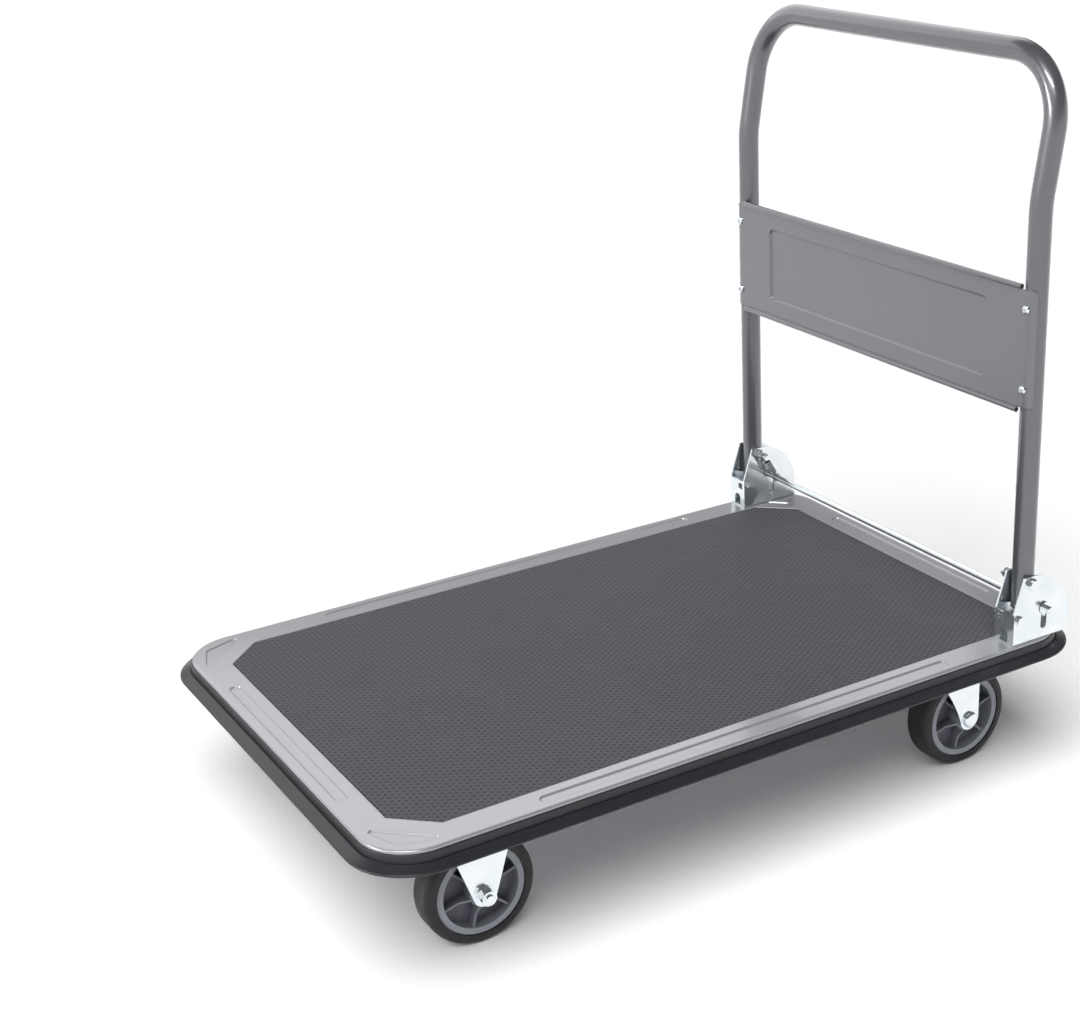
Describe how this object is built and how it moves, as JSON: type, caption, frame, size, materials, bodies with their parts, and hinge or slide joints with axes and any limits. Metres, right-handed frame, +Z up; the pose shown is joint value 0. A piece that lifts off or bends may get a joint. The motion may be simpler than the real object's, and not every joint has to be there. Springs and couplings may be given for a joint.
{
  "type": "folding platform cart",
  "caption": "Flat platform cart with a recessed anti-slip mat, an all-round bumper, a push handle that folds down on sprung hinge brackets, and rigid and swivel casters.",
  "frame": {"origin": "on the floor, under the middle of the deck, wheels standing on Z = 0", "axes": "+X along the deck to the handle end, +Y to the left when looking along +X, +Z up"},
  "size_m": [0.911, 0.602, 0.8397],
  "materials": {
    "deck_paint": "semi-gloss light grey paint on pressed steel sheet",
    "mat_vinyl": "matt dark grey vinyl with a fine woven pattern",
    "bumper_vinyl": "satin dark grey moulded vinyl",
    "handle_paint": "semi-gloss mid-grey paint on steel tube and sheet",
    "zinc": "bright zinc plate on steel",
    "spring_steel": "plain drawn and ground steel",
    "nylon": "moulded black nylon",
    "tyre_rubber": "matt black solid rubber",
    "hub_plastic": "moulded grey plastic"
  },
  "bodies": {
    "deck": {"deck_pan": "deck_paint", "deck_mat": "mat_vinyl", "bumper": "bumper_vinyl", "front_caster_channel": "deck_paint", "rear_caster_channel": "deck_paint", "deck_stiffeners": "deck_paint", "left_hinge_bracket": "zinc", "right_hinge_bracket": "zinc", "bracket_bolts": "zinc", "bracket_nuts": "zinc", "pivot_bolts": "zinc", "pivot_nuts": "zinc", "stop_bolts": "zinc", "stop_nuts": "zinc", "stop_sleeves": "zinc", "left_return_spring": "spring_steel", "right_return_spring": "spring_steel", "front_left_fork": "zinc", "front_right_fork": "zinc", "front_axles": "zinc", "front_axle_nuts": "zinc", "caster_bolts": "zinc", "caster_nuts": "zinc", "swivel_plates": "zinc", "swivel_races": "zinc", "kingpins": "zinc"},
    "release_rod": {"release_rod": "zinc", "rod_clips": "zinc"},
    "handle": {"handle_tube": "handle_paint", "pivot_bushes": "nylon", "leg_plugs": "nylon", "handle_panel": "handle_paint", "panel_screws": "zinc"},
    "rear_left_swivel": {"rear_left_fork": "zinc", "rear_left_bearing_ring": "spring_steel", "rear_left_axle": "zinc", "rear_left_axle_nut": "zinc"},
    "rear_right_swivel": {"rear_right_fork": "zinc", "rear_right_bearing_ring": "spring_steel", "rear_right_axle": "zinc", "rear_right_axle_nut": "zinc"},
    "front_left_wheel": {"front_left_tyre": "tyre_rubber", "front_left_hub": "hub_plastic", "front_left_wheel_bush": "spring_steel"},
    "front_right_wheel": {"front_right_tyre": "tyre_rubber", "front_right_hub": "hub_plastic", "front_right_wheel_bush": "spring_steel"},
    "rear_left_wheel": {"rear_left_tyre": "tyre_rubber", "rear_left_hub": "hub_plastic", "rear_left_wheel_bush": "spring_steel"},
    "rear_right_wheel": {"rear_right_tyre": "tyre_rubber", "rear_right_hub": "hub_plastic", "rear_right_wheel_bush": "spring_steel"}
  },
  "joints": [
    {"name": "handle_fold", "type": "hinge", "parent": "deck", "child": "handle", "pos_m": [0.371, 0, 0.247], "axis": [0, -1, 0], "range_deg": [0, 90]},
    {"name": "rod_press", "type": "slide", "parent": "deck", "child": "release_rod", "axis": [0, 0, 1], "range_m": [-0.022, 0], "stiffness_N_per_m": 1500, "springref_m": 0.02, "deforming": ["left_return_spring", "right_return_spring"]},
    {"name": "rear_left_swivel_turn", "type": "hinge", "parent": "deck", "child": "rear_left_swivel", "pos_m": [0.298, 0.203, 0.15], "axis": [0, 0, 1], "continuous": true},
    {"name": "rear_right_swivel_turn", "type": "hinge", "parent": "deck", "child": "rear_right_swivel", "pos_m": [0.298, -0.203, 0.15], "axis": [0, 0, 1], "continuous": true},
    {"name": "front_left_wheel_spin", "type": "hinge", "parent": "deck", "child": "front_left_wheel", "pos_m": [-0.311, 0.203, 0.0625], "axis": [0, 1, 0], "continuous": true},
    {"name": "front_right_wheel_spin", "type": "hinge", "parent": "deck", "child": "front_right_wheel", "pos_m": [-0.311, -0.203, 0.0625], "axis": [0, 1, 0], "continuous": true},
    {"name": "rear_left_wheel_spin", "type": "hinge", "parent": "rear_left_swivel", "child": "rear_left_wheel", "pos_m": [0.334, 0.203, 0.0625], "axis": [0, 1, 0], "continuous": true},
    {"name": "rear_right_wheel_spin", "type": "hinge", "parent": "rear_right_swivel", "child": "rear_right_wheel", "pos_m": [0.334, -0.203, 0.0625], "axis": [0, 1, 0], "continuous": true}
  ]
}
